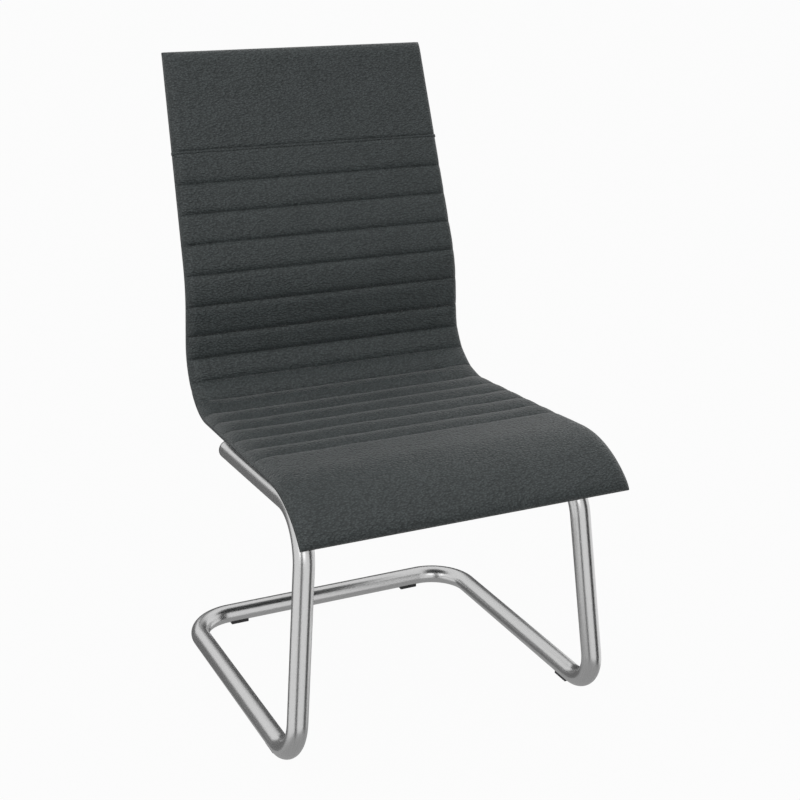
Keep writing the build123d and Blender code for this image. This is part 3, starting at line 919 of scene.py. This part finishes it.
channel_rows = [a + (b - a) * share for a, b in zip(SEAMS, SEAMS[1:]) for share in CHANNEL_SHARES]
channel_rows.append(SEAMS[-1])
front_rows = rows_between(0, END_ROLL, SEAMS[0], SEAM_REACH)
head_rows = rows_between(HEAD_SEAM, HEAD_REACH, EDGE_LENGTH, END_ROLL)
PANELS = {
    "seat_front_leather": (front_rows, ("seat_front_panel", "seat_foam")),
    "channel_leather": (channel_rows, ("channel_panel", "back_foam")),
    "head_leather": (head_rows, ("head_panel",)),
}
for name, (rows, stands_for) in PANELS.items():
    piece = dressed(name, skin(name, rows, pad_top, pad_under), "leather", *stands_for)

# %% [markdown]
# ## Head welt
# A narrow folded strip is caught in the seam under the head panel. Its ends stand just outside the sides.
# It could be a bevelled curve, but it is a small half-round bead that follows the panels, so the same grid
# gives it with a rounded height.

# %% Welt in the head seam
WELT_RISE = 9.9
WELT_ROUND = 1.2
WELT_OVERHANG = 1.6
WELT_SHARES = (0, 0.03, 0.1, 0.2, 0.35, 0.5, 0.65, 0.8, 0.9, 0.97, 1)


def welt_top(x, from_side, s):
    """Upper face of the welt: a bead that falls to the rim at the sides."""
    share = bulge(1 - abs(2 * (s - SEAMS[-1]) / WELT - 1))
    return rolled(from_side, s, WELT_RISE - WELT_ROUND * (1 - share))


welt_mesh = skin("welt_leather", [SEAMS[-1] + WELT * share for share in WELT_SHARES], welt_top, pad_under)
widest = max(abs(v.co.x) for v in welt_mesh.vertices)
for vertex in welt_mesh.vertices:
    vertex.co.x *= 1 + WELT_OVERHANG * MM / widest
welt = dressed("welt_leather", welt_mesh, "leather", "head_welt")

# %% [markdown]
# ## Rear covers
# The same leather is stretched over the underside of the seat and the rear of the back and closed with one
# seam in the bend. It could be a cloth pulled over the plywood, but it is thin and tight, so the same grid
# lays it on the plywood and slopes it to the thin edge.

# %% Covers under the seat and behind the back
LEATHER_THICK = 1.4
REAR_GAP = 0.3
REAR_DEPTH = 12.7
REAR_SLOPE = 14.0
SEAM_DIP = 1.6
DIP_REACH = 2.5
BEND_MIDDLE = (BEND_START + BEND_END) / 2


def rear_outside(x, from_side, s):
    """Outer face of a cover: close to the rim at the edges, and drawn in at the seam."""
    nose = seat_to_back(s, SEAT_NOSE, BACK_NOSE) + REAR_GAP
    from_end = min(s, EDGE_LENGTH - s)
    share = min(smooth(from_side / REAR_SLOPE), smooth(from_end / REAR_SLOPE))
    depth = nose + LEATHER_THICK + (REAR_DEPTH - nose - LEATHER_THICK) * share
    dip = SEAM_DIP * math.exp(-abs(s - BEND_MIDDLE) / DIP_REACH)
    return -depth + dip


def rear_inside(x, from_side, s):
    """Inner face of a cover, one thickness of leather further in."""
    return rear_outside(x, from_side, s) + LEATHER_THICK


COVERS = {
    "under_leather": (rows_between(0, REAR_SLOPE, BEND_MIDDLE, REAR_SLOPE), "under_cover"),
    "rear_leather": (rows_between(BEND_MIDDLE, REAR_SLOPE, EDGE_LENGTH, REAR_SLOPE), "back_cover"),
}
for name, (rows, node) in COVERS.items():
    cover = dressed(name, skin(name, rows, rear_inside, rear_outside), "leather", node)
    width = half_width(rows[0]) + half_width(rows[-1])
    width * MM
    (rows[-1] - rows[0]) * MM

# %% [markdown]
# ## Stitches
# A lockstitch seam shows as a row of short threads that dip into the leather at both ends. There are well
# over a thousand of them, so Geometry Nodes lay them: points at the stitch pitch along each seam, one
# small grain of thread on each, turned along the seam.

# %% Lines that the stitches follow
STITCH_LIFT = 0.25           # mm off the leather
STITCH_MARGIN = 3.0          # mm left free at the rim


def poly_curve(name, lines):
    """A curve object with one straight-sided spline for each line of points."""
    data = bpy.data.curves.new(name, "CURVE")
    data.dimensions = "3D"
    for line in lines:
        spline = data.splines.new("POLY")
        spline.points.add(len(line) - 1)
        for point, place in zip(spline.points, line):
            point.co = (*place, 1.0)
    curve = bpy.data.objects.new(name, data)
    scene.collection.objects.link(curve)
    return curve


def seam_line(s, height, lift):
    """Points across the shell just off a seam, away from the rim."""
    return [on_shell(x, s, height(x, from_side, s) + lift)
            for x, from_side in columns(s) if from_side > STITCH_MARGIN]


seam_lines = [seam_line(s, pad_top, STITCH_LIFT) for s in ALL_SEAMS]
seam_lines.append(seam_line(BEND_MIDDLE, rear_outside, -STITCH_LIFT))
seam_curve = poly_curve("seam_lines", seam_lines)
print(len(seam_lines), "lines of stitches")

# %% Lay the stitches
STITCH_PITCH = 4.6 * MM
STITCH_LENGTH = 3.9 * MM
THREAD = 0.8 * MM
THREAD_SIDES = 6
THREAD_RINGS = 5


def stitch_group():
    """A grain of thread at every pitch along each line of the input."""
    group, given = node_group("stitches", {
        "Stitch Pitch": "NodeSocketFloat", "Stitch Length": "NodeSocketFloat", "Thread": "NodeSocketFloat",
        "Finish": "NodeSocketMaterial"})
    points = add_node(group, "GeometryNodeResampleCurve", {"mode": "LENGTH"},
                      {"Curve": given["Geometry"], "Length": given["Stitch Pitch"]})
    grain = add_node(group, "GeometryNodeMeshUVSphere", None,
                     {"Segments": THREAD_SIDES, "Rings": THREAD_RINGS, "Radius": 0.5})
    size = add_node(group, "ShaderNodeCombineXYZ", None,
                    {0: given["Thread"], 1: given["Thread"], 2: given["Stitch Length"]})
    way = add_node(group, "GeometryNodeInputTangent")
    turn = add_node(group, "FunctionNodeAlignRotationToVector", {"axis": "Z"}, {"Vector": way})
    laid = add_node(group, "GeometryNodeInstanceOnPoints", None,
                    {"Points": points, "Instance": grain, "Rotation": turn, "Scale": size})
    realized = add_node(group, "GeometryNodeRealizeInstances", None, {"Geometry": laid})
    painted = add_node(group, "GeometryNodeSetMaterial", None,
                       {"Geometry": realized, "Material": given["Finish"]})
    add_node(group, "NodeGroupOutput", None, {"Geometry": painted})
    return group


run_group(seam_curve, stitch_group(), {
    "Stitch Pitch": STITCH_PITCH, "Stitch Length": STITCH_LENGTH, "Thread": THREAD,
    "Finish": speckled["dark_thread"]})
dressed("stitches", as_plain_mesh(seam_curve, "stitches"), "leather")
